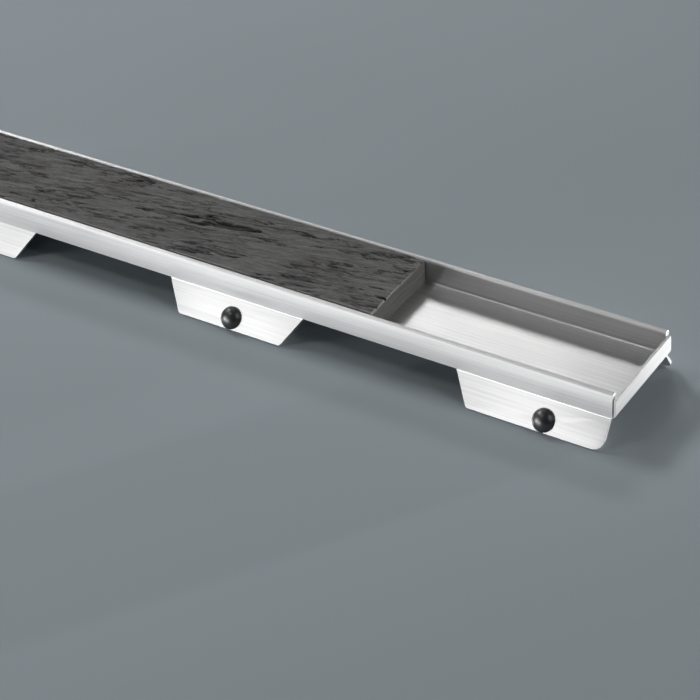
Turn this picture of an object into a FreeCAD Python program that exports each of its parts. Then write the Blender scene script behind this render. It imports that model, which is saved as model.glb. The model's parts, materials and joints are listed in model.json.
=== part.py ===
import FreeCAD, Part
import math
import os
import Sketcher

# Insert tray of a linear shower drain.
# X runs along the tray, Y across it and Z up. The origin lies under the middle of the tray,
# at the level of the surface that the legs stand on.

doc = FreeCAD.newDocument("drain_insert_tray")

# Driving sizes in millimetres and degrees.
SIZES = {
    # folded tray
    "tray_length": 800,
    "tray_width": 50,
    "wall_height": 12,
    "sheet_thickness": 1.2,
    "hem_gap": 0.2,
    "bend_radius": 1,
    "flap_height": 9.5,
    "flap_gap": 0.2,
    "flap_inset": 0.4,
    "flap_corner": 0.6,
    # splayed legs, measured along their slope and from the vertical
    "leg_length": 14,
    "leg_angle": 33,
    "leg_slant": 30,
    "leg_corner": 2,
    "middle_leg_top": 69.5,
    "middle_leg_pitch": 145.5,
    "middle_leg_pairs": 4,
    "end_leg_top": 70.7,
    "end_leg_inset": 0.8,
    "end_leg_corner": 5,
    # rubber bumpers
    "bumper_rise": 5,
    "end_bumper_inset": 28.5,
    "bumper_diameter": 10,
    "bumper_height": 3.5,
    "bumper_rim": 0.4,
    "neck_diameter": 3.8,
    "neck_clearance": 0.1,
    "barb_diameter": 5.6,
    "barb_tip_diameter": 3.2,
    "barb_length": 2,
    # slate strip
    "slate_thickness": 11,
    "slate_side_gap": 0.4,
    "slate_end_gap": 0.3,
    "slate_arris": 0.2,
    "bare_floor": 114,
    "riven_depth": 0.8,
    "riser_width": 0.5,
}

sheet = doc.addObject("Spreadsheet::Sheet", "Sizes")
for row, (alias, value) in enumerate(SIZES.items(), start=1):
    sheet.set(f"A{row}", alias.replace("_", " "))
    sheet.set(f"B{row}", str(value))
    sheet.setAlias(f"B{row}", alias)

# Places that several pieces share, each worked out from the sheet.
PLACES = {
    "half_length": "Sizes.tray_length / 2",
    "half_width": "Sizes.tray_width / 2",
    "wall": "2 * Sizes.sheet_thickness + Sizes.hem_gap",
    "half_recess": "Sizes.tray_width / 2 - wall",
    "hem_radius": "wall / 2",
    "fold_radius": "Sizes.bend_radius + Sizes.sheet_thickness",
    "crease_drop": "Sizes.bend_radius * tan(Sizes.leg_angle / 2)",
    "leg_straight": "Sizes.leg_length - crease_drop",
    "floor_under": "fold_radius * sin(Sizes.leg_angle) + leg_straight * cos(Sizes.leg_angle)",
    "floor_top": "floor_under + Sizes.sheet_thickness",
    "rim": "floor_under + Sizes.wall_height",
    "crease": "floor_under - crease_drop",
    "flap_face": "half_length + Sizes.flap_gap + Sizes.sheet_thickness",
    "flap_side": "half_width - Sizes.flap_inset",
    "bend_top": "floor_top + Sizes.bend_radius",
    "leg_end": "half_length - Sizes.end_leg_inset",
    "cut_start": "crease_drop * cos(Sizes.leg_angle)",
    "first_middle_leg": "-Sizes.middle_leg_pitch * (Sizes.middle_leg_pairs - 1) / 2",
    "bumper_drop": "Sizes.leg_length - Sizes.bumper_rise",
    "hole_radius": "Sizes.neck_diameter / 2 + Sizes.neck_clearance",
    "slate_near_end": "Sizes.tray_length / 2 - Sizes.bare_floor",
    "slate_far_end": "-flap_face + fold_radius + Sizes.slate_end_gap",
    "slate_bevel": "max(Sizes.bend_radius - Sizes.slate_side_gap; 0) + Sizes.slate_arris",
}

places = doc.addObject("Spreadsheet::Sheet", "Places")
for row, (alias, formula) in enumerate(PLACES.items(), start=1):
    places.set(f"A{row}", alias.replace("_", " "))
    places.set(f"B{row}", f"={formula}")
    places.setAlias(f"B{row}", alias)
doc.recompute()

CUT_MARGIN = 2


def size(alias):
    """A driving size, as a number."""
    return float(sheet.get(alias))


def place(name):
    """A shared place, as a number."""
    return float(places.get(name))


def origin_part(body, role):
    """One plane or axis of a body's own origin."""
    return next(part for part in body.Origin.OriginFeatures if part.Role == role)


def new_sketch(body, name, plane):
    """A sketch lying flat on one of the body's origin planes."""
    sketch = body.newObject("Sketcher::SketchObject", name)
    sketch.AttachmentSupport = (origin_part(body, plane), [""])
    sketch.MapMode = "FlatFace"
    return sketch


def hold(sketch, kind, where, formula):
    """Ties one measure of a sketch to a formula."""
    value = float(sketch.evalExpression(formula))
    index = sketch.addConstraint(Sketcher.Constraint(kind, *where, value))
    sketch.setExpression(f"Constraints[{index}]", formula)


def arc_between(start, end, radius, turn):
    """The short arc from start to end that turns left or right, drawn anticlockwise as sketches need."""
    middle = (start + end) / 2
    chord = end - start
    rise = math.sqrt(max(radius**2 - (chord.Length / 2) ** 2, 0))
    left = FreeCAD.Vector(-chord.y, chord.x, 0).normalize()
    centre = middle + left * rise * (1 if turn == "left" else -1)
    first, last = (start, end) if turn == "left" else (end, start)
    angles = [math.atan2(point.y - centre.y, point.x - centre.x) for point in (first, last)]
    circle = Part.Circle(centre, FreeCAD.Vector(0, 0, 1), radius)
    return Part.ArcOfCircle(circle, angles[0], angles[1])


def draw_outline(sketch, corners):
    """Closes an outline through corners. Each is (x, y), or (x, y, turn, radius) where an arc leads on."""
    spots = []
    for x, y, *arc in corners:
        spots.append(FreeCAD.Vector(float(sketch.evalExpression(x)), float(sketch.evalExpression(y)), 0))
    ends = []
    for number, (x, y, *arc) in enumerate(corners):
        start, end = spots[number], spots[(number + 1) % len(spots)]
        if arc:
            turn, radius = arc
            index = sketch.addGeometry(arc_between(start, end, float(sketch.evalExpression(radius)), turn))
            ends.append((index, 1, 2) if turn == "left" else (index, 2, 1))
        else:
            index = sketch.addGeometry(Part.LineSegment(start, end))
            ends.append((index, 1, 2))
    for number, (x, y, *arc) in enumerate(corners):
        index, start, end = ends[number]
        following = ends[(number + 1) % len(ends)]
        sketch.addConstraint(Sketcher.Constraint("Coincident", index, end, following[0], following[1]))
        hold(sketch, "DistanceX", (-1, 1, index, start), x)
        hold(sketch, "DistanceY", (-1, 1, index, start), y)
        if arc:
            hold(sketch, "Radius", (index,), arc[1])


def draw_circle(sketch, x, y, radius):
    """A circle about a given spot."""
    centre = FreeCAD.Vector(float(sketch.evalExpression(x)), float(sketch.evalExpression(y)), 0)
    circle = Part.Circle(centre, FreeCAD.Vector(0, 0, 1), float(sketch.evalExpression(radius)))
    index = sketch.addGeometry(circle)
    hold(sketch, "DistanceX", (-1, 1, index, 3), x)
    hold(sketch, "DistanceY", (-1, 1, index, 3), y)
    hold(sketch, "Radius", (index,), radius)


def across(corners, middle="0"):
    """The run of corners mirrored in the line x = middle, in the opposite order."""
    spots = [(f"2 * ({middle}) - ({x})", y) for x, y, *arc in corners]
    arcs = [arc for x, y, *arc in corners]
    turned = []
    for number in range(len(corners) - 1, -1, -1):
        arc = arcs[number - 1] if number else []
        turned.append((*spots[number], *arc))
    return turned


def pad(body, name, sketch, length, side="One side"):
    """Thickens a sketch along its normal."""
    feature = body.newObject("PartDesign::Pad", name)
    feature.Profile = sketch
    feature.Type = "Length"
    feature.SideType = side
    feature.setExpression("Length", length)
    return feature


def cut_through(body, name, sketch):
    """Cuts a sketch's outline right through the body, both ways."""
    feature = body.newObject("PartDesign::Pocket", name)
    feature.Profile = sketch
    feature.Type = "ThroughAll"
    feature.SideType = "Symmetric"
    return feature


# Section of the folded sheet: floor, inner leaf, closed hem and outer leaf on both sides.
def draw_trough(sketch):
    inner_bend = "Places.floor_top + Sizes.bend_radius"
    hem_start = "Places.rim - Places.hem_radius"
    floor_edge = "Places.half_recess - Sizes.bend_radius"
    outer_leaf_back = "Places.half_width - Sizes.sheet_thickness"
    inner_leaf_back = "Places.half_recess + Sizes.sheet_thickness"
    hem_middle = "Places.half_width - Places.hem_radius"
    side = [
        (floor_edge, "Places.floor_top", "left", "Sizes.bend_radius"),
        ("Places.half_recess", inner_bend),
        ("Places.half_recess", hem_start, "right", "Places.hem_radius"),
        (hem_middle, "Places.rim", "right", "Places.hem_radius"),
        ("Places.half_width", hem_start),
        ("Places.half_width", "Places.floor_under"),
        (outer_leaf_back, "Places.floor_under"),
        (outer_leaf_back, hem_start, "left", "Sizes.hem_gap / 2"),
        (hem_middle, f"{hem_start} + Sizes.hem_gap / 2", "left", "Sizes.hem_gap / 2"),
        (inner_leaf_back, hem_start),
        (inner_leaf_back, inner_bend, "right", "Places.fold_radius"),
        (floor_edge, "Places.floor_under"),
    ]
    draw_outline(sketch, side + across(side))


# At both ends the floor stops where the bend of the end flap begins.
def draw_floor_ends(sketch):
    stop = "Places.flap_face - Places.fold_radius"
    low = f"Places.floor_under - {CUT_MARGIN}"
    beyond = f"Places.flap_face + {CUT_MARGIN}"
    near = [(stop, low), (beyond, low), (beyond, "Places.bend_top"), (stop, "Places.bend_top")]
    draw_outline(sketch, near)
    draw_outline(sketch, across(near))


# The bend that turns the floor up into the end flap.
def draw_flap_bend(sketch):
    stop = "Places.flap_face - Places.fold_radius"
    draw_outline(sketch, [
        (stop, "Places.floor_under", "left", "Places.fold_radius"),
        ("Places.flap_face", "Places.bend_top"),
        ("Places.flap_face - Sizes.sheet_thickness", "Places.bend_top", "right", "Sizes.bend_radius"),
        (stop, "Places.floor_top"),
    ])


# In front of the wall ends only the outermost part of the bend goes on to the flap's sides, so
# its inner face clears the walls.
def draw_flap_skirt(sketch):
    inner_face = "Places.flap_face - Sizes.sheet_thickness"
    depth = "sqrt(Places.fold_radius ^ 2 - Sizes.bend_radius ^ 2)"
    low = f"Places.bend_top - {depth}"
    draw_outline(sketch, [
        (inner_face, low, "left", "Places.fold_radius"),
        ("Places.flap_face", "Places.bend_top"),
        (inner_face, "Places.bend_top"),
    ])


# The upright end flap stands across the ends of both walls, a little inside their outer faces.
# It is lower than the walls, and its two top corners are rounded.
def draw_flap(sketch):
    top = "Places.floor_under + Sizes.flap_height"
    side = [
        ("Places.flap_side", "Places.bend_top"),
        ("Places.flap_side", f"{top} - Sizes.flap_corner", "left", "Sizes.flap_corner"),
        ("Places.flap_side - Sizes.flap_corner", top),
    ]
    draw_outline(sketch, side + across(side))


# Section of a pair of legs, which bend outwards from the lower edges of the outer leaves.
def draw_leg_pair(sketch):
    arc_middle = "Places.half_width + Sizes.bend_radius"
    inner_y = f"{arc_middle} - Places.fold_radius * cos(Sizes.leg_angle)"
    inner_z = "Places.floor_under - Places.fold_radius * sin(Sizes.leg_angle)"
    outer_y = f"{arc_middle} - Sizes.bend_radius * cos(Sizes.leg_angle)"
    outer_z = "Places.floor_under - Sizes.bend_radius * sin(Sizes.leg_angle)"
    out = "Places.leg_straight * sin(Sizes.leg_angle)"
    down = "Places.leg_straight * cos(Sizes.leg_angle)"
    leg = [
        ("Places.half_width - Sizes.sheet_thickness", "Places.floor_under", "left", "Places.fold_radius"),
        (inner_y, inner_z),
        (f"{inner_y} + {out}", f"{inner_z} - {down}"),
        (f"{outer_y} + {out}", f"{outer_z} - {down}"),
        (outer_y, outer_z, "right", "Sizes.bend_radius"),
        ("Places.half_width", "Places.floor_under"),
    ]
    draw_outline(sketch, leg)
    draw_outline(sketch, across(leg))


# What is trimmed off beside a slanted leg side, with the rounded lower corner.
def slanted_side(top_x):
    run = "(Sizes.leg_length + Places.cut_start) * tan(Sizes.leg_slant)"
    tangent = "Sizes.leg_corner / tan(45 + Sizes.leg_slant / 2)"
    corner_x = f"{top_x} - {run}"
    beyond = f"{top_x} + {CUT_MARGIN}"
    below = f"-Sizes.leg_length - {CUT_MARGIN}"
    return [
        (top_x, "Places.cut_start"),
        (
            f"{corner_x} + {tangent} * sin(Sizes.leg_slant)",
            f"-Sizes.leg_length + {tangent} * cos(Sizes.leg_slant)",
            "right",
            "Sizes.leg_corner",
        ),
        (f"{corner_x} - {tangent}", "-Sizes.leg_length"),
        (f"{corner_x} - {tangent}", below),
        (beyond, below),
        (beyond, "Places.cut_start"),
    ]


# What is trimmed off at the large rounded corner of an end leg.
def rounded_corner():
    side = "Places.leg_end"
    below = f"-Sizes.leg_length - {CUT_MARGIN}"
    beyond = f"{side} + {CUT_MARGIN}"
    start = "-Sizes.leg_length + Sizes.end_leg_corner"
    return [
        (side, start, "right", "Sizes.end_leg_corner"),
        (f"{side} - Sizes.end_leg_corner", "-Sizes.leg_length"),
        (f"{side} - Sizes.end_leg_corner", below),
        (beyond, below),
        (beyond, start),
    ]


def leg_face_sketch(body, name, side):
    """A sketch in the sloping face of the legs, with its origin on the crease. Side is 1 in front."""
    sketch = new_sketch(body, name, "XZ_Plane")
    slope = FreeCAD.Rotation(FreeCAD.Vector(1, 0, 0), -side * size("leg_angle"))
    sketch.AttachmentOffset = FreeCAD.Placement(FreeCAD.Vector(0, 0, 0), slope)
    sketch.setExpression(".AttachmentOffset.Base.y", "Places.crease")
    sketch.setExpression(".AttachmentOffset.Base.z", f"{side} * Places.half_width")
    sketch.setExpression(".AttachmentOffset.Rotation.Angle", f"{-side} * Sizes.leg_angle")
    return sketch


def leg_features(body, name, start, length, outlines, hole_x):
    """A pair of legs: one bent section, trimmed to outline and drilled in both sloping faces."""
    section = new_sketch(body, f"{name}_section", "YZ_Plane")
    section.setExpression(".AttachmentOffset.Base.z", start)
    draw_leg_pair(section)
    features = [pad(body, name, section, length)]
    for face, side in (("front", 1), ("rear", -1)):
        sketch = leg_face_sketch(body, f"{name}_{face}_trim", side)
        for outline in outlines:
            draw_outline(sketch, outline)
        draw_circle(sketch, hole_x, "-Places.bumper_drop", "Places.hole_radius")
        features.append(cut_through(body, f"{name}_{face}_cut", sketch))
    return features


def make_tray():
    """The whole tray is one sheet of stainless steel, cut and folded."""
    body = doc.addObject("PartDesign::Body", "tray")
    section = new_sketch(body, "trough_section", "YZ_Plane")
    draw_trough(section)
    pad(body, "trough", section, "Sizes.tray_length", "Symmetric")

    ends = new_sketch(body, "floor_end_outline", "XZ_Plane")
    draw_floor_ends(ends)
    floor_ends = body.newObject("PartDesign::Pocket", "floor_ends")
    floor_ends.Profile = ends
    floor_ends.SideType = "Symmetric"
    floor_ends.setExpression("Length", "2 * Places.half_recess")

    bend_section = new_sketch(body, "flap_bend_section", "XZ_Plane")
    draw_flap_bend(bend_section)
    bend_width = "2 * (Places.half_recess - Sizes.flap_gap)"
    flap_bend = pad(body, "flap_bend", bend_section, bend_width, "Symmetric")
    skirt_section = new_sketch(body, "flap_skirt_section", "XZ_Plane")
    draw_flap_skirt(skirt_section)
    flap_skirt = pad(body, "flap_skirt", skirt_section, "2 * Places.flap_side", "Symmetric")
    flap_outline = new_sketch(body, "flap_outline", "YZ_Plane")
    flap_outline.setExpression(".AttachmentOffset.Base.z", "Places.flap_face")
    draw_flap(flap_outline)
    flap = pad(body, "flap", flap_outline, "Sizes.sheet_thickness")
    flap.Reversed = True
    mirror_ends(body, "far_flap", [flap_bend, flap_skirt, flap])

    first = "Places.first_middle_leg"
    right_side = slanted_side(f"{first} + Sizes.middle_leg_top / 2")
    outlines = [right_side, across(right_side, first)]
    start = f"{first} - Sizes.middle_leg_top / 2"
    middle_legs = leg_features(body, "middle_legs", start, "Sizes.middle_leg_top", outlines, first)
    row = body.newObject("PartDesign::LinearPattern", "middle_leg_row")
    row.Originals = middle_legs
    row.Direction = (origin_part(body, "X_Axis"), [""])
    row.Mode = "Spacing"
    row.setExpression("Offset", "Sizes.middle_leg_pitch")
    row.setExpression("Occurrences", "Sizes.middle_leg_pairs")
    body.Tip = row

    start = "Places.leg_end - Sizes.end_leg_top"
    inner_side = across(slanted_side(f"2 * Places.leg_end - ({start})"), "Places.leg_end")
    hole_x = "Places.half_length - Sizes.end_bumper_inset"
    outlines = [inner_side, rounded_corner()]
    end_legs = leg_features(body, "end_legs", start, "Sizes.end_leg_top", outlines, hole_x)
    mirror_ends(body, "far_end_legs", end_legs)
    return body


def mirror_ends(body, name, features):
    """Repeats features of one end at the other end."""
    mirror = body.newObject("PartDesign::Mirrored", name)
    mirror.Originals = features
    mirror.MirrorPlane = (origin_part(body, "YZ_Plane"), [""])
    body.Tip = mirror


# Half section of a bumper: domed head outside the leg, neck through the hole, barb behind.
def draw_bumper(sketch):
    head = "Sizes.bumper_diameter / 2"
    neck = "Sizes.neck_diameter / 2"
    dome = "(Sizes.bumper_height - Sizes.bumper_rim)"
    dome_radius = f"(({head}) ^ 2 + {dome} ^ 2) / (2 * {dome})"
    behind = "-Sizes.sheet_thickness"
    tip = f"{behind} - Sizes.barb_length"
    draw_outline(sketch, [
        ("0", tip),
        ("Sizes.barb_tip_diameter / 2", tip),
        ("Sizes.barb_diameter / 2", behind),
        (neck, behind),
        (neck, "0"),
        (head, "0"),
        (head, "Sizes.bumper_rim", "left", dome_radius),
        ("0", "Sizes.bumper_height"),
    ])


def make_bumper(name, side, x):
    """A rubber bumper pushed through a leg. Side is 1 in front, and x is a formula along the tray."""
    body = doc.addObject("PartDesign::Body", name)
    section = new_sketch(body, f"{name}_section", "XZ_Plane")
    draw_bumper(section)
    turned = body.newObject("PartDesign::Revolution", f"{name}_turned")
    turned.Profile = section
    turned.ReferenceAxis = (section, ["V_Axis"])
    turned.Angle = 360
    tilt = FreeCAD.Rotation(FreeCAD.Vector(1, 0, 0), side * (90 - size("leg_angle")))
    body.Placement = FreeCAD.Placement(FreeCAD.Vector(0, 0, 0), tilt)
    out = "Places.half_width + Places.bumper_drop * sin(Sizes.leg_angle)"
    body.setExpression(".Placement.Base.x", x)
    body.setExpression(".Placement.Base.y", f"{-side} * ({out})")
    body.setExpression(".Placement.Base.z", "Places.crease - Places.bumper_drop * cos(Sizes.leg_angle)")
    body.setExpression(".Placement.Rotation.Angle", f"{side} * (90 - Sizes.leg_angle)")
    return body


def make_bumpers():
    """One bumper for each leg, counted along both sides from the far end."""
    inset = "Places.half_length - Sizes.end_bumper_inset"
    middle = [
        f"Places.first_middle_leg + {number} * Sizes.middle_leg_pitch"
        for number in range(int(size("middle_leg_pairs")))
    ]
    bumpers = []
    for face, side in (("front", 1), ("rear", -1)):
        for number, x in enumerate([f"-({inset})", *middle, inset], start=1):
            bumpers.append(make_bumper(f"{face}_bumper_{number}", side, x))
    return bumpers


# The slate strip is sawn on its sides, ends and underside, and its lower long edges are bevelled
# to clear the bends of the tray. Its top is split along the grain:
# long narrow beds, each a little higher or lower than the next, with a steep riser between.
BEDS = 9
STATIONS = 13


def bed_height(bed, along):
    """How far a bed lies below the highest one, as a share of the riven depth."""
    slow = math.sin(2.1 * bed + 3.3 * along)
    quick = math.sin(4.7 * bed - 8.9 * along + 1.3)
    return 0.5 + 0.3 * slow + 0.2 * quick


def riser_place(riser, along):
    """Where a riser crosses the strip, as a share of its width."""
    drift = 0.32 * math.sin(1.9 * riser + 5.2 * along) + 0.1 * math.sin(3.7 * riser + 14 * along)
    return (riser + drift) / BEDS


def slate_section(along):
    """The outline of the strip across one station."""
    near, far = place("slate_near_end"), place("slate_far_end")
    x = far + along * (near - far)
    half = place("half_recess") - size("slate_side_gap")
    low = place("floor_top")
    high = low + size("slate_thickness")
    bevel = place("slate_bevel")
    corners = [(-half + bevel, low), (-half, low + bevel)]
    for bed in range(BEDS):
        level = high - bed_height(bed, along) * size("riven_depth")
        left = -half + 2 * half * riser_place(bed, along) + size("riser_width") / 2
        right = -half + 2 * half * riser_place(bed + 1, along) - size("riser_width") / 2
        corners.append((-half if bed == 0 else left, level))
        corners.append((half if bed == BEDS - 1 else right, level))
    corners += [(half, low + bevel), (half - bevel, low)]
    points = [FreeCAD.Vector(x, y, z) for y, z in corners]
    return Part.makePolygon(points + points[:1])


def make_slate():
    """The slate strip, lofted through its stations from the far end to the bare floor."""
    slate = doc.addObject("Part::Feature", "slate_strip")
    sections = [slate_section(number / (STATIONS - 1)) for number in range(STATIONS)]
    slate.Shape = Part.makeLoft(sections, True, False)
    return slate


def check(pieces):
    """Stops if anything failed to build."""
    for item in doc.Objects:
        if "Invalid" in item.State or "Error" in item.State:
            raise RuntimeError(f"{item.Label}: {item.State}")
    for piece in pieces:
        if piece.Shape.isNull() or not piece.Shape.isValid():
            raise RuntimeError(f"{piece.Label} has no valid shape")
        if len(piece.Shape.Solids) != 1:
            raise RuntimeError(f"{piece.Label} is {len(piece.Shape.Solids)} solids")


pieces = [make_tray(), make_slate(), *make_bumpers()]
doc.recompute()
check(pieces)
os.makedirs("parts", exist_ok=True)
for piece in pieces:
    piece.Shape.exportStep(f"parts/{piece.Label}.step")
    print(piece.Label, round(piece.Shape.Volume, 2))
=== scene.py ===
import json
import math
import bmesh
import bpy
from mathutils import Matrix, Vector

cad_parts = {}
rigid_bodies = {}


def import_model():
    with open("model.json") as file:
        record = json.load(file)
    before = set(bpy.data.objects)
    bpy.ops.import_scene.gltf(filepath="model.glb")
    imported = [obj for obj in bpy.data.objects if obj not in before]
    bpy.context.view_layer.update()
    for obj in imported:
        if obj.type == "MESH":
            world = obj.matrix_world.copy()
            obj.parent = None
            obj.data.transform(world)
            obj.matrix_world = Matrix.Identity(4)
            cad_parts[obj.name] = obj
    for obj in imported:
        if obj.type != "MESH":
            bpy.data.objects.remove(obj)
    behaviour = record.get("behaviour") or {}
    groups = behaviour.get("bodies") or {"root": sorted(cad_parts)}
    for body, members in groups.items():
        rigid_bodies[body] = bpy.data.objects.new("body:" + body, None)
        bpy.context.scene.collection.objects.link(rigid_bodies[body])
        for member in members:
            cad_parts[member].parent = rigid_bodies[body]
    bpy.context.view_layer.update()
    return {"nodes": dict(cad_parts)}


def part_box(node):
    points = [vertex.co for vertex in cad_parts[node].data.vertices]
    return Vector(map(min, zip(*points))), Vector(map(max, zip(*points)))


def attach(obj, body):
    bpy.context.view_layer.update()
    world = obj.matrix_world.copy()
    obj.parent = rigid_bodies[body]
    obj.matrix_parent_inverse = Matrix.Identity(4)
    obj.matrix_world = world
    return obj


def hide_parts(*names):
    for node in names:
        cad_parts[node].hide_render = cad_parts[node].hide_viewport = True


# Insert tray of a linear shower drain: a folded steel tray on splayed legs with rubber bumpers,
# part filled with a strip of riven slate. Metres, Z up, legs standing on Z = 0.

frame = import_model()


# The folded tray is one sheet of stainless steel, 1.2 mm thick and brushed along its length. It is
# cut, punched and folded: hemmed side walls, an upright flap at each end, and legs bent outwards.
# The cut edges are deburred, which leaves a fine bright line on them.

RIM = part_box("tray")[1].z
HALF_WIDTH = 0.025
WALL_END = 0.4001
MERGE = 0.000002
SAME_PLANE = math.radians(0.4)


def merged_copy(name, node):
    """A copy of a solid's mesh with its loose triangles joined up and its flat faces made whole."""
    mesh = frame["nodes"][node].data.copy()
    mesh.name = name
    mesh.materials.clear()
    shape = bmesh.new()
    shape.from_mesh(mesh)
    bmesh.ops.remove_doubles(shape, verts=shape.verts, dist=MERGE)
    bmesh.ops.dissolve_limit(
        shape,
        angle_limit=SAME_PLANE,
        verts=shape.verts,
        edges=shape.edges,
        use_dissolve_boundaries=False,
    )
    shape.to_mesh(mesh)
    shape.free()
    piece = bpy.data.objects.new(name, mesh)
    bpy.context.scene.collection.objects.link(piece)
    return piece


BOW = 0.0003
BOW_LOW, BOW_HIGH = 0.0129, 0.0236
BOW_STEPS = 8


def bow_outer_leaves(piece):
    """Lets the outer leaf of each hem bow out a little between the rim and the crease."""
    shape = bmesh.new()
    shape.from_mesh(piece.data)

    def on_leaf(vert):
        """Whether a point lies on an outer leaf, not on an end flap's edge."""
        return abs(abs(vert.co.y) - HALF_WIDTH) < MERGE * 5 and abs(vert.co.x) < WALL_END

    def is_leaf(face):
        """Whether a whole face lies on an outer leaf."""
        return abs(face.normal.y) > 0.99 and all(map(on_leaf, face.verts))

    for step in range(1, BOW_STEPS):
        level = BOW_LOW + (BOW_HIGH - BOW_LOW) * step / BOW_STEPS
        skin = [(face, *face.edges, *face.verts) for face in filter(is_leaf, shape.faces)]
        cut = list(dict.fromkeys(part for parts in skin for part in parts))
        bmesh.ops.bisect_plane(
            shape, geom=cut, dist=MERGE, plane_co=(0, 0, level), plane_no=(0, 0, 1)
        )
    for vert in shape.verts:
        share = (vert.co.z - BOW_LOW) / (BOW_HIGH - BOW_LOW)
        if on_leaf(vert) and 0 < share < 1:
            vert.co.y += math.copysign(BOW * math.sin(math.pi * share), vert.co.y)
    shape.to_mesh(piece.data)
    shape.free()


GRAIN_PER_METRE = 10


def lay_grain(piece):
    """Unfolds the sheet's grain onto the piece: U runs along the brushing, V across it."""
    mesh = piece.data
    grain = mesh.uv_layers.new(name="grain")
    for face in mesh.polygons:
        across_end = abs(face.normal.x) > 0.7
        level = abs(face.normal.z) > abs(face.normal.y)
        for corner in face.loop_indices:
            spot = mesh.vertices[mesh.loops[corner].vertex_index].co
            if across_end:
                along, across = spot.y, spot.z
            elif level:
                along, across = spot.x, spot.y
            else:
                along, across = spot.x, spot.z
            grain.data[corner].uv = (along * GRAIN_PER_METRE, across * GRAIN_PER_METRE)


def add_node(tree, kind, **settings):
    """A node of one kind, with its settings and socket values filled in."""
    node = tree.nodes.new(kind)
    for key, value in settings.items():
        if key in node.inputs:
            node.inputs[key].default_value = value
        else:
            setattr(node, key, value)
    return node


def new_finish(name):
    """A new material, with its node tree and its principled shader."""
    finish = bpy.data.materials.new(name)
    finish.use_nodes = True
    tree = finish.node_tree
    shader = tree.nodes["Principled BSDF"]
    return finish, tree, shader


def streaks(tree, source, stretch, detail, roughness):
    """Noise drawn out along one direction. Stretch gives how fine it is each way."""
    spread = add_node(tree, "ShaderNodeMapping")
    spread.inputs["Scale"].default_value = stretch
    noise = add_node(tree, "ShaderNodeTexNoise", Scale=1.0, Detail=detail, Roughness=roughness)
    tree.links.new(source, spread.inputs["Vector"])
    tree.links.new(spread.outputs["Vector"], noise.inputs["Vector"])
    return noise.outputs["Fac"]


def ranged(tree, source, given, wanted):
    """Maps a value from one range to another, clamped."""
    node = add_node(tree, "ShaderNodeMapRange")
    for name, value in zip(("From Min", "From Max", "To Min", "To Max"), (*given, *wanted)):
        node.inputs[name].default_value = value
    tree.links.new(source, node.inputs["Value"])
    return node.outputs["Result"]


def colour_ramp(tree, source, stops):
    """Colours along a value: pairs of a place and a colour."""
    ramp = add_node(tree, "ShaderNodeValToRGB")
    while len(ramp.color_ramp.elements) < len(stops):
        ramp.color_ramp.elements.new(0.5)
    for element, (spot, colour) in zip(ramp.color_ramp.elements, stops):
        element.position = spot
        element.color = (*colour, 1)
    tree.links.new(source, ramp.inputs["Fac"])
    return ramp.outputs["Color"]


def blended(tree, *terms):
    """The sum of several values, each given with its weight."""
    total = None
    for source, weight in terms:
        share = add_node(tree, "ShaderNodeMath", operation="MULTIPLY")
        tree.links.new(source, share.inputs[0])
        share.inputs[1].default_value = weight
        if total is None:
            total = share.outputs["Value"]
            continue
        both = add_node(tree, "ShaderNodeMath", operation="ADD")
        tree.links.new(total, both.inputs[0])
        tree.links.new(share.outputs["Value"], both.inputs[1])
        total = both.outputs["Value"]
    return total


def height_over_floor(tree):
    """How high each point lies, in metres."""
    place = add_node(tree, "ShaderNodeTexCoord").outputs["Object"]
    parts = add_node(tree, "ShaderNodeSeparateXYZ")
    tree.links.new(place, parts.inputs["Vector"])
    return parts.outputs["Z"]


def bumped(tree, shader, height, distance, strength):
    """Gives the shader a fine relief, as deep as the distance in metres."""
    bump = add_node(tree, "ShaderNodeBump", Distance=distance, Strength=strength)
    tree.links.new(height, bump.inputs["Height"])
    tree.links.new(bump.outputs["Normal"], shader.inputs["Normal"])


brushed_steel, tree, shader = new_finish("brushed_stainless")
grain = add_node(tree, "ShaderNodeUVMap", uv_map="grain").outputs["UV"]
fine = streaks(tree, grain, stretch=(3, 900, 1), detail=3, roughness=0.6)
broad = streaks(tree, grain, stretch=(1.2, 110, 1), detail=4, roughness=0.6)
patches = streaks(tree, grain, stretch=(4, 14, 1), detail=2, roughness=0.5)
brushing = blended(tree, (fine, 0.5), (broad, 0.5))
tint = colour_ramp(tree, broad, [(0.3, (0.60, 0.60, 0.60)), (0.7, (0.74, 0.74, 0.735))])
tree.links.new(tint, shader.inputs["Base Color"])
brushed = ranged(tree, brushing, (0.3, 0.7), (0.34, 0.39))
uneven = ranged(tree, patches, (0.3, 0.7), (-0.015, 0.015))
crown_band = (RIM - 0.0014, RIM - 0.0008)
dull_crown = ranged(tree, height_over_floor(tree), crown_band, (0, 0.16))
steel_roughness = blended(tree, (brushed, 1), (uneven, 1), (dull_crown, 1))
tree.links.new(steel_roughness, shader.inputs["Roughness"])
shader.inputs["Metallic"].default_value = 0.88
shader.inputs["Anisotropic"].default_value = 0.89
shader.inputs["Anisotropic Rotation"].default_value = 0.25
tangent = add_node(tree, "ShaderNodeTangent", direction_type="UV_MAP", uv_map="grain")
tree.links.new(tangent.outputs["Tangent"], shader.inputs["Tangent"])
bumped(tree, shader, brushing, distance=0.00003, strength=0.14)

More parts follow.
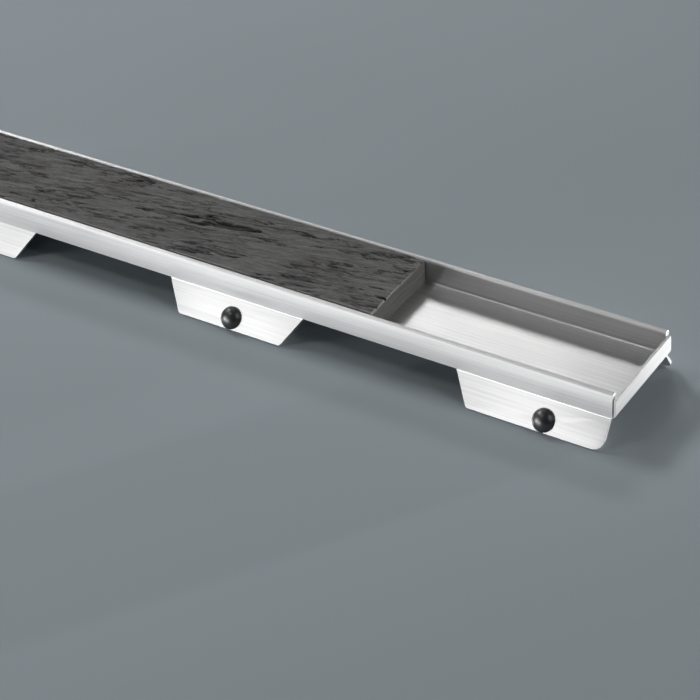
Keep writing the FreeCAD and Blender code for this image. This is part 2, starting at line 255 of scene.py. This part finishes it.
DEBURR = 0.00012
tray = merged_copy("folded_tray", "tray")
bow_outer_leaves(tray)
edges = tray.modifiers.new("deburred_edges", "BEVEL")
edges.width = DEBURR
edges.segments = 2
edges.limit_method = "ANGLE"
edges.angle_limit = math.radians(50)
edges.use_clamp_overlap = True
flat_faces = tray.modifiers.new("flat_faces_stay_flat", "WEIGHTED_NORMAL")
flat_faces.keep_sharp = True
flat_faces.weight = 100
tray.data.shade_smooth()
shown = tray.evaluated_get(bpy.context.evaluated_depsgraph_get())
tray_mesh = bpy.data.meshes.new_from_object(shown)
tray.modifiers.clear()
tray.data = tray_mesh
tray_mesh.materials.append(brushed_steel)
lay_grain(tray)
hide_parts("tray")
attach(tray, "root")


# The riven slate strip lies in the tray. Its sides, ends and underside are sawn; its top is left as
# it split, with thin beds that break off in long ragged steps along the strip, so a rule makes it.


class Rule:
    """A Geometry Nodes tree with named inputs, built step by step."""

    def __init__(self, name, inputs):
        self.tree = bpy.data.node_groups.new(name, "GeometryNodeTree")
        face = self.tree.interface
        face.new_socket("Geometry", in_out="INPUT", socket_type="NodeSocketGeometry")
        face.new_socket("Geometry", in_out="OUTPUT", socket_type="NodeSocketGeometry")
        self.ids = {}
        for label, kind in inputs.items():
            self.ids[label] = face.new_socket(label, in_out="INPUT", socket_type=kind).identifier
        self.start = self.tree.nodes.new("NodeGroupInput")
        self.end = self.tree.nodes.new("NodeGroupOutput")

    def given(self, label):
        """One of the rule's own inputs."""
        return self.start.outputs[label]

    def step(self, kind, output, settings=None, **inputs):
        """Adds a node, fills its inputs with values or outputs, and returns one of its outputs."""
        node = self.tree.nodes.new(kind)
        for key, value in (settings or {}).items():
            setattr(node, key, value)
        for key, value in inputs.items():
            number = key[1:] if key[0] == "i" else ""
            socket = node.inputs[int(number) if number.isdigit() else key.replace("_", " ")]
            if isinstance(value, bpy.types.NodeSocket):
                self.tree.links.new(value, socket)
            else:
                socket.default_value = value
        return node.outputs[output]

    def sum(self, operation, first, second=0.0, third=0.0):
        """One sum on values."""
        settings = {"operation": operation}
        return self.step("ShaderNodeMath", "Value", settings, i0=first, i1=second, i2=third)

    def vector(self, x=0.0, y=0.0, z=0.0):
        """A vector made of three values."""
        return self.step("ShaderNodeCombineXYZ", "Vector", X=x, Y=y, Z=z)

    def parts(self, vector):
        """The X, Y and Z of a vector."""
        node = self.tree.nodes.new("ShaderNodeSeparateXYZ")
        self.tree.links.new(vector, node.inputs["Vector"])
        return [node.outputs[axis] for axis in "XYZ"]

    def joined(self, *shapes):
        """Several shapes as one."""
        node = self.tree.nodes.new("GeometryNodeJoinGeometry")
        for shape in shapes:
            self.tree.links.new(shape, node.inputs["Geometry"])
        return node.outputs["Geometry"]

    def finish(self, geometry, material):
        """Ends the rule in real geometry with its material."""
        real = self.step("GeometryNodeRealizeInstances", "Geometry", Geometry=geometry)
        dressed = self.step("GeometryNodeSetMaterial", "Geometry", Geometry=real, Material=material)
        self.tree.links.new(dressed, self.end.inputs["Geometry"])

    def make(self, piece, values):
        """Keeps what the rule makes of a piece as its plain mesh, without empty material slots."""
        modifier = piece.modifiers.new("rule", "NODES")
        modifier.node_group = self.tree
        for label, value in values.items():
            modifier[self.ids[label]] = value
        shown = piece.evaluated_get(bpy.context.evaluated_depsgraph_get())
        mesh = bpy.data.meshes.new_from_object(shown)
        mesh.name = piece.name
        for slot in reversed(range(len(mesh.materials))):
            if mesh.materials[slot] is None:
                mesh.materials.pop(index=slot)
        piece.modifiers.remove(modifier)
        piece.data = mesh


riven_slate, tree, shader = new_finish("riven_slate")
place = add_node(tree, "ShaderNodeTexCoord").outputs["Object"]
turned = add_node(tree, "ShaderNodeMapping")
turned.inputs["Rotation"].default_value = (0, 0, math.radians(-10.2))
tree.links.new(place, turned.inputs["Vector"])
askew = turned.outputs["Vector"]
cleaved = streaks(tree, askew, stretch=(60, 560, 300), detail=6, roughness=0.66)
splinters = streaks(tree, askew, stretch=(260, 1300, 700), detail=4, roughness=0.65)
clouds = streaks(tree, place, stretch=(22, 70, 40), detail=4, roughness=0.55)
rust = streaks(tree, place, stretch=(26, 60, 40), detail=3, roughness=0.5)
# Painted shade and light: the riven top's grey darkens the lower it lies, so the clefts hold painted
# shade and the high beds a painted light.
relief_band = (0.0230, 0.0252)
painted_shade_by_height = ranged(tree, height_over_floor(tree), relief_band, (-0.12, 0.42))
slate_grey_and_painted_shade = colour_ramp(
    tree,
    blended(tree, (cleaved, 0.4), (clouds, 0.3), (splinters, 0.4), (painted_shade_by_height, 1)),
    [(0.44, (0.024, 0.024, 0.024)), (0.72, (0.062, 0.061, 0.06)), (0.98, (0.24, 0.236, 0.23))],
)
rusty = add_node(tree, "ShaderNodeMix", data_type="RGBA")
plain_colour, rust_colour, mixed_colour = rusty.inputs[6], rusty.inputs[7], rusty.outputs[2]
tree.links.new(ranged(tree, rust, (0.58, 0.76), (0, 0.4)), rusty.inputs["Factor"])
tree.links.new(slate_grey_and_painted_shade, plain_colour)
rust_colour.default_value = (0.085, 0.062, 0.047, 1)
tree.links.new(mixed_colour, shader.inputs["Base Color"])
tree.links.new(ranged(tree, cleaved, (0.3, 0.7), (0.75, 0.52)), shader.inputs["Roughness"])
splits = blended(tree, (cleaved, 0.6), (splinters, 0.35))
bumped(tree, shader, splits, distance=0.0024, strength=1.0)

sawn_slate, tree, shader = new_finish("sawn_slate")
place = add_node(tree, "ShaderNodeTexCoord").outputs["Object"]
layers = streaks(tree, place, stretch=(30, 60, 900), detail=4, roughness=0.6)
grit = streaks(tree, place, stretch=(1400, 1400, 1800), detail=3, roughness=0.6)
# The sawn faces are a lighter grey than the riven top, as sawn slate is. Their grey is also raised
# further as painted light, standing in for light the lamps hardly bring to the strip's end.
sawn_grey_with_painted_light = colour_ramp(tree, layers, [(0.3, (0.27, 0.266, 0.258)), (0.7, (0.41, 0.404, 0.392))])
tree.links.new(sawn_grey_with_painted_light, shader.inputs["Base Color"])
tree.links.new(ranged(tree, grit, (0.3, 0.7), (0.5, 0.68)), shader.inputs["Roughness"])
bumped(tree, shader, grit, distance=0.0001, strength=0.5)

riven = Rule("riven_top", {
    "Size": "NodeSocketVector",
    "Middle": "NodeSocketVector",
    "Columns": "NodeSocketInt",
    "Rows": "NodeSocketInt",
    "Depth": "NodeSocketFloat",
    "Bed Length": "NodeSocketFloat",
    "Bed Width": "NodeSocketFloat",
    "Beds": "NodeSocketFloat",
    "Flakes": "NodeSocketFloat",
    "Seed": "NodeSocketFloat",
    "Riven": "NodeSocketMaterial",
    "Sawn": "NodeSocketMaterial",
})
BED_SKEW = -0.18
RISER_END, FOOT_START = 0.13, 0.84


def drawn_out(rule, place, length, width, offset, detail, roughness):
    """Noise in beds of a given length and width, a little askew to the strip."""
    x, y = rule.parts(place)[:2]
    skewed = rule.sum("MULTIPLY_ADD", x, BED_SKEW, y)
    where = rule.vector(
        rule.sum("DIVIDE", x, length),
        rule.sum("DIVIDE", skewed, width),
        rule.sum("ADD", rule.given("Seed"), offset),
    )
    return rule.step(
        "ShaderNodeTexNoise", "Fac", Vector=where, Scale=1.0, Detail=detail, Roughness=roughness
    )


def broken(rule, field, beds, groove):
    """Turns a smooth field into flat beds with steep risers and a groove at the foot of each."""
    count = rule.sum("MULTIPLY", field, beds)
    part = rule.sum("FRACT", count)
    riser = rule.step(
        "ShaderNodeMapRange", "Result", {"interpolation_type": "SMOOTHSTEP"},
        Value=part, From_Min=0.0, From_Max=RISER_END, To_Min=0.0, To_Max=1.0 + groove,
    )
    foot = rule.step(
        "ShaderNodeMapRange", "Result", {"interpolation_type": "SMOOTHSTEP"},
        Value=part, From_Min=FOOT_START, From_Max=1.0, To_Min=groove, To_Max=2 * groove,
    )
    level = rule.sum("SUBTRACT", rule.sum("ADD", rule.sum("FLOOR", count), riser), foot)
    return rule.sum("SUBTRACT", rule.sum("DIVIDE", level, beds), 0.5)


position = riven.step("GeometryNodeInputPosition", "Position")
size_x, size_y, size_z = riven.parts(riven.given("Size"))
middle_x, middle_y, middle_z = riven.parts(riven.given("Middle"))
bed_length, bed_width = riven.given("Bed Length"), riven.given("Bed Width")
flake_length = riven.sum("DIVIDE", bed_length, 2.2)
flake_width = riven.sum("DIVIDE", bed_width, 3.0)
ridge_length = riven.sum("DIVIDE", bed_length, 8)
ridge_width = riven.sum("DIVIDE", bed_width, 9)

RAGGED = 0.10
ragged = riven.step(
    "ShaderNodeTexNoise", "Fac", Vector=position, Scale=260.0, Detail=4.0, Roughness=0.65
)
ragged = riven.sum("MULTIPLY_ADD", ragged, RAGGED, -RAGGED / 2)
ground = drawn_out(riven, position, bed_length, bed_width, offset=0.0, detail=5.0, roughness=0.6)
ground = riven.sum("ADD", ground, ragged)
flakes = drawn_out(riven, position, flake_length, flake_width, offset=7.0, detail=4.0, roughness=0.6)
flakes = riven.sum("ADD", flakes, ragged)
ridges = drawn_out(riven, position, ridge_length, ridge_width, offset=13.0, detail=3.0, roughness=0.65)

BED_SHARE, FLAKE_SHARE, RIDGE_SHARE, LOWERED = 2.6, 1.2, 1.0, 0.08
stepped_beds = broken(riven, ground, riven.given("Beds"), groove=0.6)
stepped_flakes = broken(riven, flakes, riven.given("Flakes"), groove=0.4)
relief = riven.sum("MULTIPLY", stepped_beds, BED_SHARE)
relief = riven.sum("MULTIPLY_ADD", stepped_flakes, FLAKE_SHARE, relief)
relief = riven.sum("MULTIPLY_ADD", riven.sum("SUBTRACT", ridges, 0.5), RIDGE_SHARE, relief)
relief = riven.sum("MINIMUM", riven.sum("SUBTRACT", relief, LOWERED), 0.0)

bed = riven.step(
    "GeometryNodeMeshGrid", "Mesh", Size_X=size_x, Size_Y=size_y,
    Vertices_X=riven.given("Columns"), Vertices_Y=riven.given("Rows"),
)
underside = riven.sum("MULTIPLY_ADD", size_z, -0.5, middle_z)
bed = riven.step(
    "GeometryNodeTransform", "Geometry",
    Geometry=bed, Translation=riven.vector(middle_x, middle_y, underside),
)
raised = riven.tree.nodes.new("GeometryNodeExtrudeMesh")
raised.mode = "FACES"
raised.inputs["Individual"].default_value = False
riven.tree.links.new(bed, raised.inputs["Mesh"])
riven.tree.links.new(riven.vector(z=size_z), raised.inputs["Offset"])
drop = riven.vector(z=riven.sum("MULTIPLY", relief, riven.given("Depth")))
split = riven.step(
    "GeometryNodeSetPosition", "Geometry",
    Geometry=raised.outputs["Mesh"], Selection=raised.outputs["Top"], Offset=drop,
)
real = riven.step("GeometryNodeRealizeInstances", "Geometry", Geometry=split)
sawn = riven.step(
    "GeometryNodeSetMaterial", "Geometry", Geometry=real, Material=riven.given("Sawn")
)
finished = riven.step(
    "GeometryNodeSetMaterial", "Geometry",
    Geometry=sawn, Selection=raised.outputs["Top"], Material=riven.given("Riven"),
)
riven.tree.links.new(finished, riven.end.inputs["Geometry"])


def close_underside(piece):
    """Fills the open underside with one face that looks down, in the material of the sides."""
    shape = bmesh.new()
    shape.from_mesh(piece.data)
    open_edges = [edge for edge in shape.edges if edge.is_boundary]
    for face in bmesh.ops.holes_fill(shape, edges=open_edges, sides=0)["faces"]:
        face.material_index = open_edges[0].link_faces[0].material_index
        face.normal_update()
        if face.normal.z > 0:
            face.normal_flip()
    shape.to_mesh(piece.data)
    shape.free()


COLUMN_WIDTH, ROW_WIDTH = 0.0013, 0.00025
slate_low, slate_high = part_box("slate_strip")
slate_size = slate_high - slate_low
slate = bpy.data.objects.new("riven_slate_strip", bpy.data.meshes.new("slate_start"))
bpy.context.scene.collection.objects.link(slate)
riven.make(slate, {
    "Size": tuple(slate_size),
    "Middle": tuple((slate_low + slate_high) / 2),
    "Columns": round(slate_size.x / COLUMN_WIDTH),
    "Rows": round(slate_size.y / ROW_WIDTH),
    "Depth": 0.0021,
    "Bed Length": 0.066,
    "Bed Width": 0.011,
    "Beds": 6.0,
    "Flakes": 7.0,
    "Seed": 3.7,
    "Riven": riven_slate,
    "Sawn": sawn_slate,
})
close_underside(slate)
slate.data.shade_smooth()
slate.data.set_sharp_from_angle(angle=math.radians(45))
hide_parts("slate_strip")
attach(slate, "root")


# The rubber bumpers are black and moulded, one on each leg. The neck is pushed through the hole in
# the leg and a barb holds it behind. One is turned here, and a rule sets it on every leg.

BUMPER_HALF = 0.005
BUMPER_HEIGHT = 0.0035
BUMPER_RIM = 0.0004
LIP = 0.00035
LIP_PROFILE = [(0.00008, 0.00055), (0, LIP), (0, 0.00018), (0.00012, 0.00003), (BUMPER_RIM, 0)]
DOME_STEPS, TURN_STEPS = 16, 48
NECK_HALF = 0.0019
SHEET = 0.0012
BARB_HALF, BARB_TIP, BARB_LENGTH = 0.0028, 0.0016, 0.002


def turned_bumper():
    """A dome with a rounded lip, its neck and its barb, turned about Z."""
    dome = BUMPER_HEIGHT - BUMPER_RIM
    sphere = (BUMPER_HALF**2 + dome**2) / (2 * dome)
    centre = BUMPER_HEIGHT - sphere
    outline = [(0, BUMPER_HEIGHT)]
    steepest = math.asin((BUMPER_HALF - LIP) / sphere)
    for number in range(1, DOME_STEPS + 1):
        angle = steepest * number / DOME_STEPS
        outline.append((sphere * math.sin(angle), centre + sphere * math.cos(angle)))
    outline += [(BUMPER_HALF - inset, height) for inset, height in LIP_PROFILE]
    outline += [(NECK_HALF, 0), (NECK_HALF, -SHEET), (BARB_HALF, -SHEET)]
    outline += [(BARB_TIP, -SHEET - BARB_LENGTH), (0, -SHEET - BARB_LENGTH)]
    shape = bmesh.new()
    spots = [shape.verts.new((reach, 0, height)) for reach, height in outline]
    line = [shape.edges.new(pair) for pair in zip(spots, spots[1:])]
    bmesh.ops.spin(
        shape, geom=spots + line, cent=(0, 0, 0), axis=(0, 0, 1),
        angle=2 * math.pi, steps=TURN_STEPS, use_merge=True,
    )
    bmesh.ops.remove_doubles(shape, verts=shape.verts, dist=MERGE * 5)
    bmesh.ops.recalc_face_normals(shape, faces=shape.faces)
    mesh = bpy.data.meshes.new("one_bumper")
    shape.to_mesh(mesh)
    shape.free()
    return mesh


black_rubber, tree, shader = new_finish("black_rubber")
place = add_node(tree, "ShaderNodeTexCoord").outputs["Object"]
bloom = streaks(tree, place, stretch=(260, 260, 260), detail=3, roughness=0.6)
skin = streaks(tree, place, stretch=(2600, 2600, 2600), detail=2, roughness=0.6)
near_black = colour_ramp(tree, bloom, [(0.3, (0.005, 0.006, 0.008)), (0.7, (0.009, 0.010, 0.012))])
tree.links.new(near_black, shader.inputs["Base Color"])
tree.links.new(ranged(tree, bloom, (0.3, 0.7), (0.37, 0.43)), shader.inputs["Roughness"])
shader.inputs["Specular IOR Level"].default_value = 1.0
shader.inputs["IOR"].default_value = 1.6
bumped(tree, shader, skin, distance=0.00004, strength=0.3)

setting = Rule("bumper_on_every_leg", {
    "Middle Legs": "NodeSocketInt",
    "Leg Pitch": "NodeSocketFloat",
    "End Spacing": "NodeSocketFloat",
    "Reach": "NodeSocketFloat",
    "Height": "NodeSocketFloat",
    "Tilt": "NodeSocketFloat",
    "Rubber": "NodeSocketMaterial",
})
pitch, spacing = setting.given("Leg Pitch"), setting.given("End Spacing")
gaps = setting.sum("SUBTRACT", setting.given("Middle Legs"), 1.0)
first = setting.sum("MULTIPLY", setting.sum("MULTIPLY", gaps, pitch), -0.5)
middle_row = setting.step(
    "GeometryNodeMeshLine", "Mesh", {"mode": "OFFSET"}, Count=setting.given("Middle Legs"),
    Start_Location=setting.vector(x=first), Offset=setting.vector(x=pitch),
)
end_pair = setting.step(
    "GeometryNodeMeshLine", "Mesh", {"mode": "OFFSET"}, Count=2,
    Start_Location=setting.vector(x=setting.sum("MULTIPLY", spacing, -0.5)),
    Offset=setting.vector(x=spacing),
)
to_front = setting.sum("MULTIPLY", setting.given("Reach"), -1.0)
front_row = setting.step(
    "GeometryNodeSetPosition", "Geometry", Geometry=setting.joined(middle_row, end_pair),
    Offset=setting.vector(y=to_front, z=setting.given("Height")),
)
front = setting.step(
    "GeometryNodeInstanceOnPoints", "Instances", Points=front_row,
    Instance=setting.given("Geometry"), Rotation=setting.vector(x=setting.given("Tilt")),
)
rear = setting.step("GeometryNodeTransform", "Geometry", Geometry=front, Rotation=(0, 0, math.pi))
setting.finish(setting.joined(front, rear), setting.given("Rubber"))

LEAN = math.radians(33)
WALL_HEIGHT = 0.012
FOLD = 0.001
BUMPER_DROP = 0.009
crease = RIM - WALL_HEIGHT - FOLD * math.tan(LEAN / 2)
bumpers = bpy.data.objects.new("rubber_bumpers", turned_bumper())
bpy.context.scene.collection.objects.link(bumpers)
setting.make(bumpers, {
    "Middle Legs": 4,
    "Leg Pitch": 0.1455,
    "End Spacing": 0.743,
    "Reach": HALF_WIDTH + BUMPER_DROP * math.sin(LEAN),
    "Height": crease - BUMPER_DROP * math.cos(LEAN),
    "Tilt": math.pi / 2 - LEAN,
    "Rubber": black_rubber,
})
bumpers.data.shade_smooth()
bumpers.data.set_sharp_from_angle(angle=math.radians(50))
bumper_nodes = [f"{side}_bumper_{number}" for side in ("front", "rear") for number in range(1, 7)]
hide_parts(*bumper_nodes)
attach(bumpers, "root")


# The studio has a plain grey-blue floor, soft lamps all round it, low ones among them that the
# brushed legs mirror, a far narrow spot that grazes the near end flap, and the photograph's view.

FLOOR_HALF = 4
floor_mesh = bpy.data.meshes.new("studio_floor")
corners = [(-1, -1), (1, -1), (1, 1), (-1, 1)]
floor_corners = [(x * FLOOR_HALF, y * FLOOR_HALF, 0) for x, y in corners]
floor_mesh.from_pydata(floor_corners, [], [(0, 1, 2, 3)])
floor = bpy.data.objects.new("studio_floor", floor_mesh)
bpy.context.scene.collection.objects.link(floor)
pale_floor, tree, shader = new_finish("pale_floor")
shader.inputs["Base Color"].default_value = (0.42, 0.475, 0.51, 1)
shader.inputs["Roughness"].default_value = 0.9
shader.inputs["Specular IOR Level"].default_value = 0.2
floor_mesh.materials.append(pale_floor)


def aimed_lamp(name, kind, target, azimuth, elevation, distance, power):
    """A lamp that faces a spot. Azimuth runs from +X towards +Y; both angles are in degrees."""
    turn, rise = math.radians(azimuth), math.radians(elevation)
    way = Vector((math.cos(turn) * math.cos(rise), math.sin(turn) * math.cos(rise), math.sin(rise)))
    lamp = bpy.data.lights.new(name, kind)
    lamp.energy = power
    stand = bpy.data.objects.new(name, lamp)
    stand.visible_camera = False
    bpy.context.scene.collection.objects.link(stand)
    facing = way.to_track_quat("Z", "Y").to_matrix().to_4x4()
    stand.matrix_world = Matrix.Translation(Vector(target) + way * distance) @ facing
    return lamp


TRAY_MIDDLE = (0.25, 0, 0.01)
SOFTBOX_DISTANCE = 1.8


def softbox(name, azimuth, elevation, width, height, power):
    """A soft lamp that faces the part of the tray in the picture."""
    lamp = aimed_lamp(name, "AREA", TRAY_MIDDLE, azimuth, elevation, SOFTBOX_DISTANCE, power)
    lamp.shape = "RECTANGLE"
    lamp.size, lamp.size_y = width, height


softbox("back_left_key", 121, 35, 0.62, 0.22, 4.6)
softbox("left_high", 165, 43, 0.6, 0.3, 9.4)
softbox("right_high", 15, 45, 0.6, 0.6, 3.4)
softbox("right_front", -8, 34, 0.15, 0.15, 1.6)
softbox("front_high", 225, 62, 0.4, 0.4, 2.2)
softbox("front_left", 226, 20, 0.3, 0.4, 0.75)
softbox("left_low", 219, 3, 0.25, 0.2, 12.5)
softbox("front_low", 239, 1.2, 0.2, 0.05, 4.8)
softbox("front_right_low", 251.5, 1.2, 0.16, 0.05, 5.0)

NEAR_FLAP = (0.41, 0.056, 0.018)
end_spot = aimed_lamp("end_spot", "SPOT", NEAR_FLAP, 56, 1.2, distance=3.5, power=1500)
end_spot.spot_size = math.radians(2.4)
end_spot.spot_blend = 1
end_spot.shadow_soft_size = 0.08

world = bpy.data.worlds.new("studio")
world.use_nodes = True
world.node_tree.nodes["Background"].inputs["Color"].default_value = (0.9, 0.95, 1, 1)
world.node_tree.nodes["Background"].inputs["Strength"].default_value = 0.025
bpy.context.scene.world = world

lens = bpy.data.cameras.new("camera")
lens.sensor_width = 36
lens.lens = 118.118
lens.clip_start, lens.clip_end = 0.05, 20
camera = bpy.data.objects.new("camera", lens)
camera.location = (0.72261, -0.66937, 0.57910)
camera.rotation_euler = (math.radians(53.6721), math.radians(3.3923), math.radians(32.2232))
bpy.context.scene.collection.objects.link(camera)
bpy.context.scene.camera = camera
bpy.context.scene.view_settings.view_transform = "Standard"
